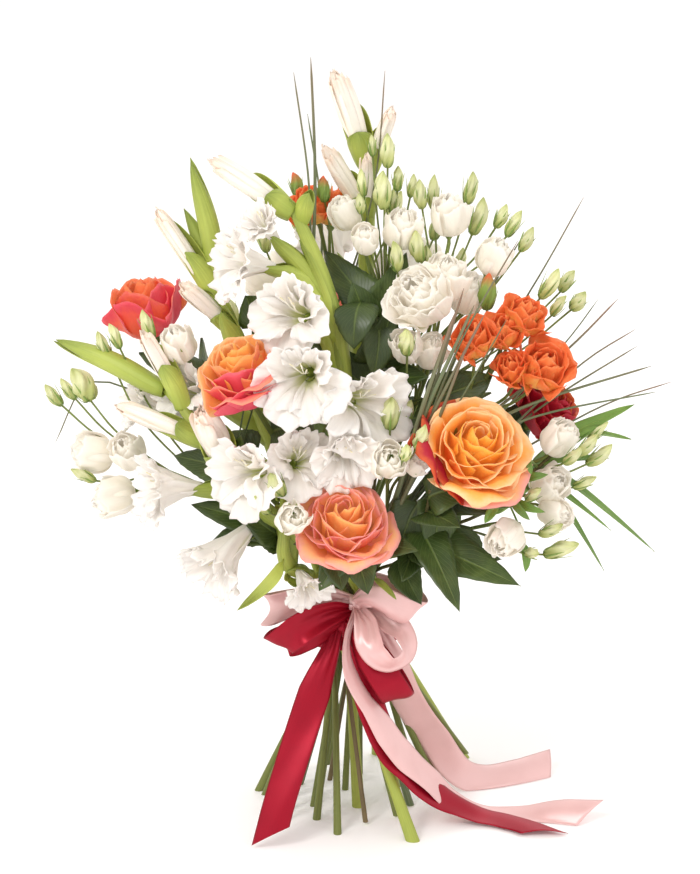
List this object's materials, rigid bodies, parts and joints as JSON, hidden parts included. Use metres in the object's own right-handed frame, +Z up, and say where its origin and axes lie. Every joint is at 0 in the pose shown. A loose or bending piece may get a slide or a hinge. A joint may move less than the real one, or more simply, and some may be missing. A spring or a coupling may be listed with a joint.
{
  "type": "mixed flower bouquet",
  "caption": "Hand-tied mixed bouquet of roses, gladiolus, lisianthus and foliage that stands on its spiral of cut stems, with ribbon bows at the binding.",
  "frame": {"origin": "on the surface that the cut stems stand on, at the middle of the bounding box's base", "axes": "+Z up along the bouquet, -Y towards the side that most flowers face, +X to the right seen from there"},
  "size_m": [0.4944, 0.2892, 0.6161],
  "materials": {
    "stem": "matte green stem",
    "fresh_stem": "satin light green stem and sheath",
    "leaf": "satin dark green leaf",
    "grass": "matte grey green blade",
    "apricot_petal": "soft matte petal, apricot with a pink edge",
    "coral_petal": "soft matte petal, orange inside and crimson outside",
    "crimson_petal": "soft matte dark red petal",
    "orange_petal": "soft matte petal, orange red with a yellow base",
    "white_petal": "soft matte petal, white with a green base",
    "cord": "matte twisted cord",
    "red_satin": "glossy satin",
    "pink_satin": "glossy satin"
  },
  "bodies": {
    "root": {"foliage_back": "leaf", "foliage_front": "leaf", "foliage_left": "leaf", "foliage_right": "leaf", "foliage_top": "leaf", "gladiolus_1_florets_lower": "white_petal", "gladiolus_1_florets_upper": "white_petal", "gladiolus_1_stem": "fresh_stem", "gladiolus_2_florets_front": "white_petal", "gladiolus_2_stem": "fresh_stem", "gladiolus_3_florets_back": "white_petal", "gladiolus_3_stem": "fresh_stem", "gladiolus_4_florets_left": "white_petal", "gladiolus_4_florets_middle": "white_petal", "gladiolus_4_stem": "fresh_stem", "gladiolus_5_florets_front": "white_petal", "gladiolus_5_stem": "fresh_stem", "grass_left": "grass", "grass_right": "grass", "lisianthus_a_blooms_top": "white_petal", "lisianthus_a_stem": "stem", "lisianthus_b_blooms_top": "white_petal", "lisianthus_b_stem": "stem", "lisianthus_c_blooms_lower": "white_petal", "lisianthus_c_blooms_upper": "white_petal", "lisianthus_c_stem": "stem", "lisianthus_d_blooms_front": "white_petal", "lisianthus_d_blooms_left": "white_petal", "lisianthus_d_stem": "stem", "lisianthus_e_blooms_lower": "white_petal", "lisianthus_e_blooms_upper": "white_petal", "lisianthus_e_stem": "stem", "lisianthus_f_blooms_front": "white_petal", "lisianthus_f_stem": "stem", "lisianthus_g_blooms_lower": "white_petal", "lisianthus_g_blooms_top": "white_petal", "lisianthus_g_blooms_upper": "white_petal", "lisianthus_g_stem": "stem", "lisianthus_h_blooms_back": "white_petal", "lisianthus_h_stem": "stem", "ribbon_pink": "pink_satin", "ribbon_red": "red_satin", "rose_1_bloom": "apricot_petal", "rose_1_stem": "stem", "rose_2_bloom": "apricot_petal", "rose_2_stem": "stem", "rose_3_bloom": "apricot_petal", "rose_3_stem": "stem", "rose_4_bloom": "coral_petal", "rose_4_stem": "stem", "rose_5_bloom": "crimson_petal", "rose_5_stem": "stem", "rose_6_bloom": "apricot_petal", "rose_6_stem": "stem", "spray_rose_right_blooms_lower": "orange_petal", "spray_rose_right_blooms_upper": "orange_petal", "spray_rose_right_stem": "stem", "spray_rose_top_blooms_front": "orange_petal", "spray_rose_top_stem": "stem", "tie_cord": "cord"}
  },
  "joints": []
}
